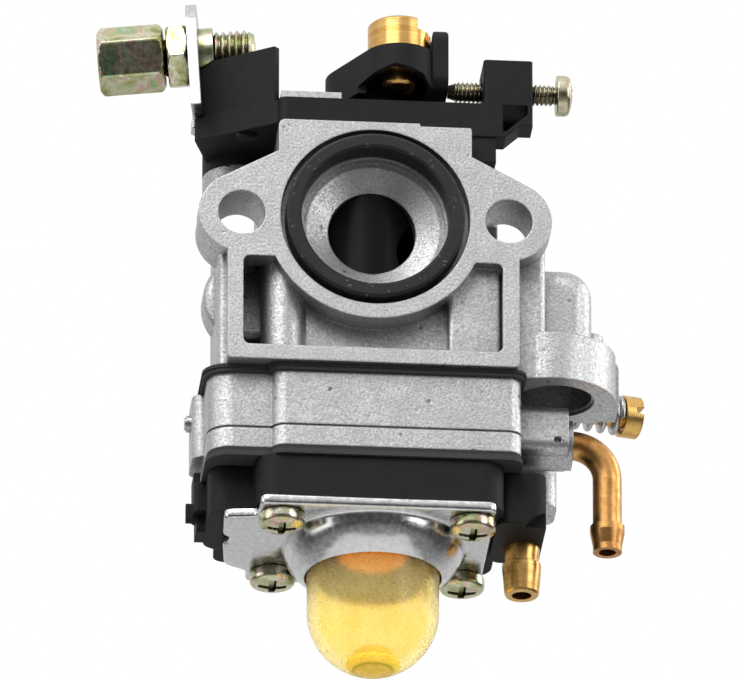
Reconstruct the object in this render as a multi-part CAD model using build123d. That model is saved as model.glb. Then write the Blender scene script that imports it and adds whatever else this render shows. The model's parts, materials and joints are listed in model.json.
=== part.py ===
from build123d import *

# Small two-stroke carburetor with a rotary throttle barrel, a diaphragm fuel pump and a primer bulb.
# Millimetres. The origin is the centre of the intake bore on the mounting flange's face.
# +X is to the right of someone facing that flange, +Y goes through the carburetor to its air-filter side,
# and +Z is up, along the throttle barrel's axis towards the cable lever.

import os
from math import acos, atan2, cos, hypot, pi, radians, sin

os.makedirs("parts", exist_ok=True)

# ---------------------------------------------------------------- driving dimensions
running = 0.05               # radial clearance of a turning or sliding fit
bolt_spacing = 31.0          # mounting bolts, centre to centre
bolt_hole_r = 2.75           # clearance holes for M5 bolts
lug_r = 5.0
lug_depth = 7.0
flange_depth = 3.0
flange_top = 12.0
tab_half = 11.2              # half width of the flange above the lugs
tab_low = 8.0
frame_left, frame_right = -17.1, 16.7
body_bottom = -18.4
window = (-15.3, 14.8, -16.6, -5.4)   # opening in the flange's lower frame: x low, x high, z low, z high
boss_r = 12.8                # round boss about the intake bore
boss_depth = 6.2
housing_r = 8.5              # round wall about the throttle barrel
wall_y = 3.45                # flat wall behind the window in the flange
cup_x, cup_y, cup_r, cup_depth = 21.6, 9.4, 4.6, 4.2   # blind recess under the right boss
rear_face = 24.0

throat_r = 5.1
throat_start = 4.9
counterbore_r = 8.3
counterbore_depth = 3.4
groove_r = 11.0
ring_in, ring_out = 8.6, 10.35
groove_floor = 2.1

axis_y = 12.0                # depth of the throttle barrel's axis
barrel_r = 7.0
barrel_low, barrel_top = -8.6, 11.4
pocket_floor = -11.2
barrel_lift = 1.8            # rise of the barrel from idle to full throttle
idle_angle = 72.0            # turn from idle to full throttle
stem_r = 4.0
ball_r = 1.5
ball_place_r = 5.0           # cam ball's distance from the barrel's axis
ball_angle = 135.0
ball_z = -10.6
cam_steps, cam_gap = 9, 0.3              # the ramp under the barrel that rides on the ball

deck_low, deck_top = 8.3, 12.0
cover_top = 16.2
bracket_gauge = 1.2
plate_x, plate_z = -20.7, 25.1        # where the cable adjuster crosses the bracket plate
adjuster_y = 12.0
adjuster_yaw, adjuster_tilt = 8.0, 3.5
adjuster_r = 2.5                      # M5 thread
collar_r = 3.05
idle_y, idle_z, idle_r = 6.0, 18.9, 1.25

lever_low, lever_top = 17.9, 22.6
swivel_x, swivel_y = 3.2, 5.0
swivel_r, swivel_pin_r = 3.65, 2.05
swivel_top = 26.5

gasket = 0.4
clip_x = -19.35                        # inner face of the purge base's snap clip
block_top, block_low = -19.2, -28.5
base_top, base_low = -29.6, -35.25
plate_gauge = 1.2
needle_y, needle_r = 6.5, 0.95         # inlet needle
pivot_y, pivot_z, pin_r = 9.2, -26.45, 0.5
lever_face = -26.9                    # top of the metering lever's blade
chamber_r, chamber_top = 8.8, -24.9
plate_low = base_low - plate_gauge
stack_x, stack_y = 0.75, 12.0         # axis of the primer bulb
screw_spots = [(-10.5, 3.6), (11.6, 3.6), (-10.2, 20.5), (11.8, 20.4)]
screw_r = 1.5
screw_head_r, screw_head = 2.65, 1.9
dome_r, dome_rim_r, dome_low = 11.0, 7.9, -40.5
bulb_r, bulb_wall, bulb_centre = 7.64, 1.1, -44.7

mixture_at = (27.0, 17.5, -16.0)      # point on the mixture screw's axis, which is turned in plan
mixture_yaw, mixture_r = 15.0, 1.4
mixture_face, mixture_head = -2.9, 3.3  # along that axis: seat of the spring, underside of the head
mixture_coil_r, mixture_wire = 2.0, 0.72

inlet_y, inlet_z, inlet_x = 10.0, -23.7, 23.0
tube_r, tube_bore = 1.68, 1.0
elbow_x, elbow_end = 27.75, -37.0
return_x, return_y, return_low = 18.0, 12.2, -35.9

X, Y, Z = (1, 0, 0), (0, 1, 0), (0, 0, 1)
LEFT, FRONT, DOWN = (-1, 0, 0), (0, -1, 0), (0, 0, -1)


# ---------------------------------------------------------------- shape helpers
def block(x, y, z, edge=0.0, along=Axis.Z):
    """Box between a low and a high value on each axis, its edges along one axis rounded."""
    body = Pos((x[0] + x[1]) / 2, (y[0] + y[1]) / 2, (z[0] + z[1]) / 2) * Box(
        x[1] - x[0], y[1] - y[0], z[1] - z[0])
    return fillet(body.edges().filter_by(along), edge) if edge else body


def rod(start, axis, length, r):
    """Cylinder from a start point along a direction."""
    return Plane(origin=start, z_dir=axis) * (Pos(0, 0, length / 2) * Cylinder(r, length))


def taper(start, axis, length, r0, r1):
    """Cone from radius r0 at the start to r1."""
    return Plane(origin=start, z_dir=axis) * (Pos(0, 0, length / 2) * Cone(r0, r1, length))


def ring(start, axis, length, r_out, r_in):
    """Round tube along a direction."""
    return rod(start, axis, length, r_out) - rod(start, axis, length, r_in)


def turned(profile, start=(0, 0, 0), axis=(0, 0, 1)):
    """Body of revolution from (radius, height) points, standing at start along axis."""
    face = make_face(Plane.XZ * Polyline(*profile, close=True))
    return Plane(origin=start, z_dir=axis) * revolve(face, Axis.Z)


def plan(sketch, z0, z1):
    """Outline drawn as x, y and filled between two heights."""
    return Pos(0, 0, z0) * extrude(sketch, amount=z1 - z0)


def front(sketch, y0, y1):
    """Outline drawn as x, z and filled between two depths."""
    return extrude(Plane.XZ.offset(-y1) * sketch, amount=y1 - y0)


def outline(*points):
    """Closed straight-sided outline."""
    return make_face(Polyline(*points, close=True))


def panel(x, y, r):
    """Rectangle with rounded corners between low and high values."""
    shape = Rectangle(x[1] - x[0], y[1] - y[0])
    shape = fillet(shape.vertices(), r) if r else shape
    return Pos((x[0] + x[1]) / 2, (y[0] + y[1]) / 2) * shape


def dot(x, y, r):
    """Circle at a place."""
    return Pos(x, y) * Circle(r)


def coil(start, axis, length, r, wire, turns):
    """Round-wire spring between two planes, its centre line a helix."""
    run = length - wire
    path = Helix(pitch=run / turns, height=run, radius=r)
    wire_end = Plane(origin=path @ 0, z_dir=path % 0) * Circle(wire / 2)
    spring = sweep(wire_end, path=path, is_frenet=True)
    return Plane(origin=start, z_dir=axis) * (Pos(0, 0, wire / 2) * spring)


def hexagon(start, axis, length, across, chamfer_end=0.0):
    """Hexagon bar, its corners turned down at the far end when asked."""
    bar = extrude(RegularPolygon(across / 2, 6, major_radius=False), amount=length)
    if chamfer_end:
        corner = across / 2 / cos(pi / 6)
        turned_bar = turned([(0, 0), (corner, 0), (corner, length - chamfer_end),
                             (corner - 1.5 * chamfer_end, length), (0, length)])
        bar = bar & turned_bar
    return Plane(origin=start, z_dir=axis) * bar


def pan_screw(head_at, axis, length, r, head_r, head, slot=0.8):
    """Cross-head screw. head_at is under the head; the thread runs along axis and the head the other way."""
    back = tuple(-v for v in axis)
    cap = Plane(origin=head_at, z_dir=back) * (
        turned([(0, 0), (head_r, 0), (head_r, head * 0.45), (head_r * 0.86, head * 0.8),
                (head_r * 0.55, head), (0, head)])
        - Pos(0, 0, head) * Box(head_r * 1.15, slot, head * 1.1)
        - Pos(0, 0, head) * Box(slot, head_r * 1.15, head * 1.1))
    return cap + rod(head_at, axis, length, r)


def tangent(px, pz, cx, cz, r, side):
    """Point where the line from (px, pz) touches a circle."""
    reach = hypot(px - cx, pz - cz)
    angle = atan2(pz - cz, px - cx) + side * acos(r / reach)
    return cx + r * cos(angle), cz + r * sin(angle)


def one(shape):
    """The shape as one solid."""
    solids = shape.solids()
    assert len(solids) == 1, f"{len(solids)} solids"
    return solids[0]


parts = {}


# ---------------------------------------------------------------- main body casting
def flange_outline():
    """Mounting flange: upper tab, two round lugs with straight flanks, lower frame with its window."""
    half = bolt_spacing / 2
    shape = panel((-tab_half, tab_half), (-4, flange_top), 0.8)
    for side in (-1, 1):
        touch = tangent(side * tab_half, tab_low, side * half, 0, lug_r, -side)
        shape += outline((side * 4, tab_low), (side * tab_half, tab_low), touch, (side * half, 0), (side * 4, 0))
        shape += dot(side * half, 0, lug_r)
    shape += panel((frame_left, frame_right), (body_bottom, 0), 0.5)
    x0, x1, z0, z1 = window
    shape -= panel((x0, x1), (z0, z1), 0.8)
    return shape + Circle(boss_r)


def mixture_frame():
    """Plane across the mixture screw's axis, its normal pointing out of the body and its x axis up."""
    yaw = radians(mixture_yaw)
    return Plane(origin=mixture_at, x_dir=(0, 0, 1), z_dir=(cos(yaw), sin(yaw), 0))


def along_mixture(distance, from_point=True):
    """Point on the mixture screw's axis, or that distance along its direction alone."""
    yaw = radians(mixture_yaw)
    start = mixture_at if from_point else (0, 0, 0)
    return (start[0] + distance * cos(yaw), start[1] + distance * sin(yaw), start[2])


def body_core():
    """Barrel housing, side walls, ribs and the round boss on the right that holds the mixture screw."""
    half = bolt_spacing / 2
    core = block((-12.6, 15.0), (5.6, 21.5), (body_bottom, deck_low), 3.4)
    core += block((8.6, 14.7), (1.7, 8.0), (body_bottom, -4.6), 0.5)
    core += rod((-10.3, 4.4, body_bottom), Z, 13.4, 2.7)
    core += block((-8.4, 9.0), (wall_y, axis_y), (body_bottom, deck_top))
    for x, y in screw_spots[2:]:
        core += rod((x, y, body_bottom), Z, 8.0, 3.0)
    core += rod((0, axis_y, body_bottom), Z, deck_top - body_bottom, housing_r)
    core += block((-11.0, 11.2), (2.9, 21.5), (deck_low - 1, deck_top), 1.5)
    core += rod((-14.2, 17.6, 9.7), Z, deck_top - 9.7, 4.5)
    core += block((-14.2, -8), (13.4, 21.5), (9.7, deck_top))
    core += block((-18.0, -15.3), (2.0, 14.5), (body_bottom, -1), 0.6)
    core += block((-17.6, -11.0), (9.5, 14.5), (body_bottom, -3.0))
    core += block((14.0, 20.0), (2.9, 14.0), (body_bottom, -1.0), 0.7)
    lug = front(panel((13.0, 25.7), (-16.0, -3.2), 3.4), 4.6, 13.5)
    core += fillet(lug.faces().sort_by(Axis.Y)[0].edges(), 2.6)
    core += block((13.0, 27.3), (8.0, 14.4), (body_bottom, -10.2), 1.6)
    step = front(panel((22.0, 29.2), (body_bottom - 5.0, -12.2), 1.6), 10.4, 14.8)
    core += step - block((20.0, 31.0), (10.0, 15.0), (body_bottom - 6.0, body_bottom))
    core += rod((21.0, 10.4, body_bottom), Z, 5.8, 7.8)
    core += mixture_frame() * (Pos(0, 0, mixture_face - 6) * Box(4.8, 6.4, 12))
    core += rod((0, 20.5, 0), Y, rear_face - 20.5, 11.4)
    knob = rod((-13.7, 7.6, -7.3), Y, 5.2, 5.6)
    core += fillet(knob.edges(), 1.2)
    for side in (-1, 1):
        core += rod((side * half, 0.5, 0), Y, lug_depth - 0.5, lug_r - 0.15)
        core += block((side * 10.5 - 3.5, side * 10.5 + 3.5), (3, lug_depth), (-3.4, 3.4))
    return core


def main_body():
    half = bolt_spacing / 2
    body = front(flange_outline(), 0, flange_depth) + body_core()
    body += rod((0, 0, 0), Y, boss_depth, boss_r)
    body -= block((5.2, tab_half + 1), (-1, 2.6), (flange_top - 0.35, flange_top + 1))
    body -= block((-tab_half, tab_half), (-1, boss_depth + 1), (flange_top, boss_r + 1))
    body -= ring((0, -1, 0), Y, 1 + groove_floor, groove_r, counterbore_r)
    body -= rod((0, -1, 0), Y, 2.3, counterbore_r + 0.01)
    body -= rod((0, 0, 0), Y, counterbore_depth, counterbore_r)
    body -= taper((0, counterbore_depth - 0.01, 0), Y, throat_start - counterbore_depth + 0.02, 7.7, throat_r)
    body -= rod((0, 0, 0), Y, rear_face + 1, throat_r)
    body -= taper((0, rear_face - 1.2, 0), Y, 1.3, throat_r, throat_r + 1.3)
    body -= rod((0, axis_y, pocket_floor), Z, 30, barrel_r + running)
    for side in (-1, 1):
        body -= rod((side * half, -1, 0), Y, lug_depth + 2, bolt_hole_r)
    body -= ball_place * Sphere(ball_r + 0.02)
    body -= rod((0, axis_y, -30), Z, 20, 2.0)
    body -= rod((0, axis_y, body_bottom - 1), Z, 5.3, 2.75)
    body -= turned([(0, -1), (cup_r, -1), (cup_r, 0.4), (cup_r - 0.3, 0.4), (cup_r - 0.3, cup_depth), (0, cup_depth)],
                   (cup_x, cup_y, body_bottom))
    body -= rod(along_mixture(mixture_face + 12), along_mixture(-1, False), 26.0, mixture_r + running)
    body -= rod(along_mixture(mixture_face), along_mixture(1, False), 12.0, mixture_coil_r + 0.9)
    for x, y in cover_screw_spots:
        body -= rod((x, y, deck_low + 0.3), Z, 10, 1.8)
    for x, y in screw_spots:
        body -= rod((x, y, body_bottom - 1), Z, 6.0, screw_r)
    return one(body)


ball_place = Pos(ball_place_r * cos(radians(ball_angle)), axis_y + ball_place_r * sin(radians(ball_angle)), ball_z)
cover_screw_spots = [(-14.2, 17.6), (8.9, 18.6)]
parts["main_body"] = main_body()
parts["flange_seal_ring"] = turned(
    [(ring_in, -0.35), (ring_in + 0.3, -0.6), (ring_out - 0.3, -0.6), (ring_out, -0.35),
     (ring_out, groove_floor), (ring_in, groove_floor)], (0, 0, 0), Y)


# ---------------------------------------------------------------- throttle barrel and what it holds
def throttle_barrel():
    """Cross-bored barrel with its stem, needle passage, spring recess and the cam ramp under it."""
    barrel = rod((0, axis_y, barrel_low), Z, barrel_top - barrel_low, barrel_r)
    barrel += rod((0, axis_y, barrel_top - 1), Z, lever_top - barrel_top, stem_r)
    along = radians(90 + idle_angle)
    bore_at = (-20 * cos(along), axis_y - 20 * sin(along), -barrel_lift)
    barrel -= rod(bore_at, (cos(along), sin(along), 0), 40, throat_r)
    barrel -= ring((0, axis_y, 6.4), Z, 10, 6.4, stem_r)
    barrel -= rod((0, axis_y, -12), Z, 10, 2.7)
    barrel -= rod((0, axis_y, 0), Z, 30, 1.05)
    barrel -= rod((0, axis_y, lever_top - 6), Z, 10, 2.2)
    for step in range(cam_steps + 1):
        low = barrel_low - cam_gap - barrel_lift * step / cam_steps
        tooth = block((ball_place_r - 1.2, ball_place_r + 1.2), (-0.5, 0.5), (low, barrel_low + 0.2))
        barrel += Pos(0, axis_y, 0) * (Rot(0, 0, ball_angle + idle_angle * step / cam_steps) * tooth)
    return one(barrel)


parts["throttle_barrel"] = throttle_barrel()
parts["cam_ball"] = ball_place * Sphere(ball_r)
parts["thrust_washer"] = ring((0, axis_y, 6.45), Z, 0.5, 6.3, stem_r + running)
parts["return_spring"] = coil((0, axis_y, 7.0), Z, 7.3, 5.3, 0.7, 5)
parts["jet_needle"] = turned(
    [(0, -8.0), (0.25, -8.0), (0.95, 4.0), (0.95, lever_top - 5.9), (2.1, lever_top - 5.9),
     (2.1, lever_top - 2.4), (0, lever_top - 2.4)], (0, axis_y, 0), Z) - block(
    (-3, 3), (axis_y - 0.3, axis_y + 0.3), (lever_top - 3.4, lever_top))
parts["main_nozzle"] = turned(
    [(1.05, -17.6), (2.6, -17.6), (2.6, -15.4), (1.9, -15.4), (1.9, -5.2), (1.6, -4.8), (1.05, -4.8)],
    (0, axis_y, 0), Z)
parts["nozzle_o_ring"] = Pos(0, axis_y, -14.75) * Torus(2.32, 0.4)


# ---------------------------------------------------------------- top cover
def arm_outline():
    """Plan of the cable arm: a skew front wall whose right end runs straight back."""
    return outline((-11.4, 4.34), (-19.6, 10.0), (-17.2, 13.5), (-11.2, 9.4), (-10.8, 9.2), (-10.8, 4.9))


def adjuster_axis():
    yaw, tilt = radians(adjuster_yaw), radians(adjuster_tilt)
    return (cos(yaw) * cos(tilt), -sin(yaw) * cos(tilt), sin(tilt))


def along_adjuster(distance):
    """Point on the adjuster's axis, measured from the bracket plate's outer face."""
    axis = adjuster_axis()
    start = (plate_x, adjuster_y, plate_z)
    return tuple(s + distance * a for s, a in zip(start, axis))


def top_cover():
    deck = block((-11.0, 14.2), (2.9, 21.4), (deck_top, cover_top), 1.0)
    deck += plan(outline((-10.0, 2.9), (-11.0, 4.0), (-20.2, 10.0), (-17.8, 17.9), (-16.0, 21.4), (-8, 21.4)),
                 deck_top + 1.3, cover_top)
    deck += rod((-14.2, 17.6, deck_top), Z, 3.0, 4.5)
    deck += plan(arm_outline(), cover_top - 0.5, 23.2)
    deck += block((12.9, 18.6), (2.9, 9.2), (deck_top, 21.8), 0.4)
    deck += block((11.35, 14.3), (3.1, 21.4), (8.8, deck_top + 1))
    deck += rod((0, axis_y, cover_top - 0.2), Z, 1.2, 6.5)
    deck -= rod((0, axis_y, deck_top - 1), Z, 3.4, barrel_r + 0.35)
    deck -= rod((0, axis_y, deck_top), Z, 20, stem_r + running)
    deck -= ring((0, axis_y, cover_top), Z, 2, 5.6, stem_r)
    deck += block((-15.6, -13.2), (7.0, 8.0), (deck_top + 0.7, deck_top + 2.0))
    trough = along_adjuster(-1.0)
    deck -= rod(trough, adjuster_axis(), 8.6, adjuster_r + 0.45)
    deck -= rod(trough, adjuster_axis(), 4.2, collar_r + 0.3)
    deck -= front(outline((15.1, 16.1), (18.0, 16.1), (18.0, 15.0), (15.1, 12.4)), 2, 8.2)
    deck -= front(outline((14.3, 11.0), (17.2, 13.6), (19.5, 13.6), (19.5, 11.0)), 2, 10)
    deck -= block((14.3, 19.5), (6.4, 10.0), (11.0, 15.2))
    deck -= rod((10, idle_y, idle_z), X, 10, idle_r + running)
    deck -= block((12.0, 13.6), (4.4, 20.4), (8.0, deck_top))
    for x, y in cover_screw_spots:
        deck -= rod((x, y, deck_top - 1), Z, 10, 2.1)
    return one(deck)


parts["top_cover"] = top_cover()
parts["shaft_seal"] = ring((0, axis_y, cover_top + 0.05), Z, 1.2, 5.5, stem_r + 0.15)


# ---------------------------------------------------------------- cable bracket and adjuster
def cable_bracket():
    """Bent plate: a round-topped ear across the adjuster's axis and a foot on top of the cover."""
    axis = Plane(origin=(plate_x, adjuster_y, plate_z), x_dir=(0, 1, 0), z_dir=adjuster_axis())
    ear = Circle(5.9) + Pos(0, -4.4) * Rectangle(11.8, 8.8)
    ear -= Circle(adjuster_r + 0.1)
    upright = axis * extrude(ear, amount=bracket_gauge)
    upright -= block((-30, 0), (0, 30), (10, cover_top))
    foot = plan(outline((-20.3, 12.6), (-18.2, 12.9), (-17.0, 14.0), (-10.6, 9.6), (-10.6, 3.9), (-3.6, 3.9),
                        (-3.6, 9.0), (-7.4, 12.6), (-9.0, 20.2), (-16.4, 20.2), (-17.9, 17.4), (-20.3, 14.4)),
                cover_top, cover_top + bracket_gauge)
    foot -= rod((cover_screw_spots[0][0], cover_screw_spots[0][1], 10), Z, 20, 2.1)
    foot -= rod((0, axis_y, 10), Z, 20, 6.7)
    return one(upright + foot - plan(offset(arm_outline(), 0.15), 10, 30))


parts["cable_bracket"] = cable_bracket()
inward = adjuster_axis()
outward = tuple(-v for v in inward)
parts["bracket_collar"] = ring(along_adjuster(bracket_gauge), inward, 1.7, collar_r, adjuster_r + running)
parts["cable_adjuster"] = one(
    rod(along_adjuster(-2.9), inward, 10.6, adjuster_r)
    + hexagon(along_adjuster(-2.9), outward, 7.7, 7.0, 0.5)
    - rod(along_adjuster(-12), inward, 22, 1.1)
    - rod(along_adjuster(-12), inward, 7.5, 2.3))
parts["lock_nut"] = hexagon(along_adjuster(-0.05), outward, 2.5, 7.0) - rod(
    along_adjuster(-4), inward, 6, adjuster_r + running)

parts["cover_screws"] = Compound(children=[
    pan_screw((x, y, z), DOWN, 6.8, 1.75, 3.4, 2.3)
    for (x, y), z in zip(cover_screw_spots, (cover_top + bracket_gauge, cover_top))])
parts["idle_screw"] = pan_screw((21.6, idle_y, idle_z), LEFT, 12.7, idle_r, 2.38, 1.9, 0.7)


# ---------------------------------------------------------------- throttle lever, swivel and clip
def throttle_lever():
    """Hub on the barrel's stem, hooded arm to the swivel, and the tall wall that meets the idle screw."""
    plate = make_hull((dot(0, axis_y, 4.8) + dot(swivel_x, swivel_y, 4.25)).edges())
    inside = make_hull((dot(0, axis_y, 3.9) + dot(swivel_x, swivel_y, 3.35)).edges())
    lever = plan(plate, lever_low, lever_top) - plan(inside, lever_low - 1, lever_top - 1.4)
    hood_mouth = outline((-4.6, lever_low - 1), (-1.6, 18.7), (2.4, 20.0), (5.8, 19.1), (7.2, lever_low - 1))
    lever -= front(hood_mouth, swivel_y - 8, swivel_y)
    lever += rod((0, axis_y, lever_low), Z, lever_top - lever_low - 0.4, 4.8)
    wall = Plane.YZ * (panel((2.6, 8.8), (lever_low, 25.6), 1.6))
    wall = Pos(6.9, 0, 0) * extrude(wall, amount=1.85)
    lever += wall & front(panel((6.9, 8.75), (lever_low - 3, 25.6), 0.85), 2.0, 9.0)
    lever += block((4.0, 7.4), (3.4, 8.0), (lever_top - 1.4, lever_top))
    lever -= rod((0, axis_y, 10), Z, 20, stem_r)
    lever -= rod((swivel_x, swivel_y, 10), Z, 20, swivel_pin_r + running)
    lever -= rod((swivel_x, swivel_y, lever_top), Z, 10, swivel_r + 0.2)
    return one(lever)


def cable_swivel():
    body = turned([(0, 18.6), (swivel_pin_r - 0.3, 18.6), (swivel_pin_r, 18.9), (swivel_pin_r, 20.55),
                   (1.6, 20.55), (1.6, 21.05), (swivel_pin_r, 21.05), (swivel_pin_r, lever_top + 0.05),
                   (swivel_r, lever_top + 0.05), (swivel_r, swivel_top - 0.3), (swivel_r - 0.3, swivel_top),
                   (0, swivel_top)], (swivel_x, swivel_y, 0), Z)
    seat = Pos(swivel_x, swivel_y, 0) * (Rot(0, 0, -28) * block((0, 9), (-0.65, 0.65), (23.9, 25.2)))
    neck = Pos(swivel_x, swivel_y, 0) * (Rot(0, 0, -28) * block((-9, 1), (-1.5, 1.5), (23.4, 25.7)))
    notch = block((swivel_x + 1.9, swivel_x + 5), (swivel_y - 5, swivel_y + 1.0), (25.0, swivel_top + 1))
    return one(body - seat - neck - notch)


parts["throttle_lever"] = throttle_lever()
parts["cable_swivel"] = cable_swivel()
parts["swivel_circlip"] = ring((swivel_x, swivel_y, 20.6), Z, 0.4, 2.85, 1.62) - block(
    (swivel_x - 0.9, swivel_x + 0.9), (swivel_y, swivel_y + 5), (20, 21.5))


# ---------------------------------------------------------------- mixture screw
def mixture_screw():
    """Slotted brass screw: a fine needle tip, a shank and a cheese head."""
    screw = turned([(0, -14.0), (0.2, -14.0), (0.6, -12.2), (mixture_r, -11.6), (mixture_r, 0.0), (2.45, 0.0),
                    (2.45, 1.9), (2.25, 2.1), (0, 2.1)])
    screw -= Pos(0, 0, 2.1) * Box(0.8, 8, 1.8)
    return mixture_frame() * (Pos(0, 0, mixture_head) * screw)


parts["mixture_screw"] = mixture_screw()
parts["mixture_spring"] = coil(along_mixture(mixture_face + 0.03), along_mixture(1, False),
                               mixture_head - mixture_face - 0.06, mixture_coil_r, mixture_wire, 3.6)


# ---------------------------------------------------------------- fuel stack under the body
def stack_outline(grow=0.0):
    """Plan shared by the pump block, its gaskets and diaphragms."""
    shape = panel((-19.1 - grow, 14.0), (2.5 - grow, 22.6 + grow), 2.8)
    shape += panel((-11.8 - grow, 17.1 + grow), (1.3 - grow, 22.6 + grow), 1.6)
    return shape


def with_holes(body, r=screw_r + running):
    """Stack layer with its four long screws' holes."""
    for x, y in screw_spots:
        body -= rod((x, y, -60), Z, 60, r)
    return body


parts["pump_gasket"] = one(with_holes(plan(stack_outline(0.6), body_bottom - gasket, body_bottom)
                                      - rod((0, axis_y, -30), Z, 20, 2.9)))
parts["pump_diaphragm"] = one(with_holes(plan(stack_outline(0.45), block_top, body_bottom - gasket)))


def pump_body():
    """Cast block: pump chambers on top, metering chamber underneath, fuel inlet on the right."""
    block_shape = plan(stack_outline(), block_low, block_top)
    seam = plan(stack_outline(0.1) - stack_outline(-0.25), -26.1, -25.85)
    block_shape -= seam
    block_shape += block((-20.4, -16.0), (9.2, 15.6), (block_low + 1.5, block_top), 1.2)
    block_shape += block((15.0, inlet_x), (6.5, 13.6), (-25.9, -20.0), 1.4, Axis.X)
    block_shape += rod((15.0, inlet_y, inlet_z), X, inlet_x - 15.0 + 0.6, 2.9)
    block_shape += block((15.0, 22.6), (16.0, 22.4), (block_low, -22.0), 1.8)
    block_shape -= rod((inlet_x + 1, inlet_y, inlet_z), LEFT, 9.5, tube_r)
    block_shape -= taper((inlet_x - 1.3, 6.4, -24.5), Y, 0.7, 0.5, 0.25)
    block_shape -= rod((-25, 12.4, -21.6), X, 9.0, 1.0)
    block_shape -= rod((stack_x, stack_y, block_low - 1), Z, chamber_top - block_low + 1, chamber_r)
    for side in (-1, 1):
        block_shape += block((stack_x + side * 3.0 - 0.9, stack_x + side * 3.0 + 0.9), (pivot_y - 1.2, pivot_y + 1.2),
                             (pivot_z - 1.0, chamber_top + 0.5))
    block_shape -= rod((stack_x - 3.65, pivot_y, pivot_z), X, 7.3, pin_r + 0.02)
    block_shape -= rod((stack_x, needle_y, chamber_top - 1), Z, 1 + 1.7, needle_r + running)
    block_shape -= rod((stack_x, needle_y, chamber_top), Z, 5.0, 0.75)
    block_shape -= block((-7.5, 7.5), (6.0, 10.5), (-21.0, block_top + 1), 1.5)
    block_shape -= rod((11.5, stack_y, -23.5), Z, 10, 2.2)
    block_shape -= rod((11.5, inlet_y, inlet_z), X, 6, 0.9)
    return one(with_holes(block_shape))


parts["pump_body"] = pump_body()
parts["gallery_plug"] = one(rod((-20.9, 12.4, -21.6), X, 4.0, 0.98) + rod((-21.1, 12.4, -21.6), X, 0.7, 0.75))
parts["inlet_screen"] = ring((11.5, stack_y, -20.2), Z, 0.5, 2.15, 0.6)


def inlet_elbow():
    """Bent tube: level out of the block, then down to a barbed end."""
    bend = 4.2
    path = FilletPolyline((inlet_x - 5.0, inlet_y, inlet_z), (elbow_x, inlet_y, inlet_z),
                          (elbow_x, inlet_y, elbow_end), radius=bend)
    start = Plane(origin=path @ 0, z_dir=path % 0)
    tube = sweep(start * Circle(tube_r), path=path)
    tip = Plane(origin=path @ 1, z_dir=path % 1)
    barb = tip * (Pos(0, 0, -3.2) * turned([(tube_r - 0.2, 0), (2.0, 0), (2.0, 0.8), (tube_r - 0.1, 3.0),
                                            (tube_r - 0.2, 3.0)]))
    hollow = sweep(start * Circle(tube_bore), path=path)
    return one(tube + barb - hollow)


parts["inlet_elbow"] = inlet_elbow()

parts["inlet_needle"] = one(
    turned([(0, 4.4), (0.3, 4.4), (needle_r, 3.2), (needle_r, 0.5), (0.5, 0.5), (0.5, 0.0), (0, 0.0)],
           (stack_x, needle_y, lever_face + 0.05), Z))
parts["metering_gasket"] = one(with_holes(plan(stack_outline(0.0), -29.0, block_low)
                                          - rod((stack_x, stack_y, -40), Z, 20, 8.8)))
parts["metering_diaphragm"] = one(with_holes(plan(stack_outline(0.15), base_top, -29.0))
                                  + rod((stack_x, stack_y, -29.0), Z, lever_face - 0.35 + 29.0, 1.3))
parts["metering_lever"] = one(
    block((stack_x - 1.3, stack_x + 1.3), (needle_y - 0.9, stack_y + 1.2), (lever_face - 0.3, lever_face))
    + rod((stack_x - 1.6, pivot_y, pivot_z), X, 3.2, 1.1)
    - rod((stack_x - 4.0, pivot_y, pivot_z), X, 8, pin_r + running))
parts["lever_pin"] = rod((stack_x - 3.6, pivot_y, pivot_z), X, 7.2, pin_r)
parts["metering_spring"] = coil((stack_x, stack_y - 0.5, lever_face + 0.02), Z, 1.9, 0.9, 0.25, 3)


def purge_base():
    """Black moulding under the metering diaphragm, with the primer's passages and the return boss."""
    base = plan(panel((-13.6, 15.2), (1.6, 22.4), 2.6), base_low, base_top)
    base += plan(panel((-18.7, -8.0), (5.6, 17.0), 2.0), base_low, base_top)
    base += plan(panel((-17.2, -8.0), (14.0, 20.6), 1.5), base_low - 0.6, base_top)
    base += block((-20.1, -17.0), (10.6, 15.0), (-33.2, base_top), 0.5, Axis.Z)
    base += block((-20.1, clip_x), (11.0, 14.6), (-30.2, -28.3))
    base += block((-19.7, -17.0), (12.0, 15.6), (-35.2, -32.8), 0.4, Axis.X)
    base += block((-20.9, -19.4), (12.2, 13.2), (-33.9, -31.6), 0.3, Axis.X)
    base += block((14.5, 20.3), (4.8, 16.6), (return_low, base_top), 1.6)
    base -= block((10.0, 14.5), (0, 30), (return_low - 1, base_low))
    base -= block((-17.3, -8.0), (13.0, 24.0), (base_low - 2, base_low))
    base -= Plane.XZ.offset(-6.0) * extrude(outline((17.6, -36.0), (21.0, -36.0), (21.0, -33.6)), amount=6)
    base -= rod((19.0, 9.8, -32.9), X, 3, 0.8)
    base -= rod((stack_x, stack_y, base_top + 1), DOWN, 2.2, 8.6)
    base -= rod((stack_x, stack_y, base_low - 1), Z, 3.6, 3.4)
    base -= rod((stack_x, stack_y, -40), Z, 20, 1.25)
    base -= rod((return_x, return_y, return_low - 1), Z, 3.8, 1.95)
    base -= rod((return_x, return_y, return_low - 1), Z, 4.6, 1.0)
    return one(with_holes(base))


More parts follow.
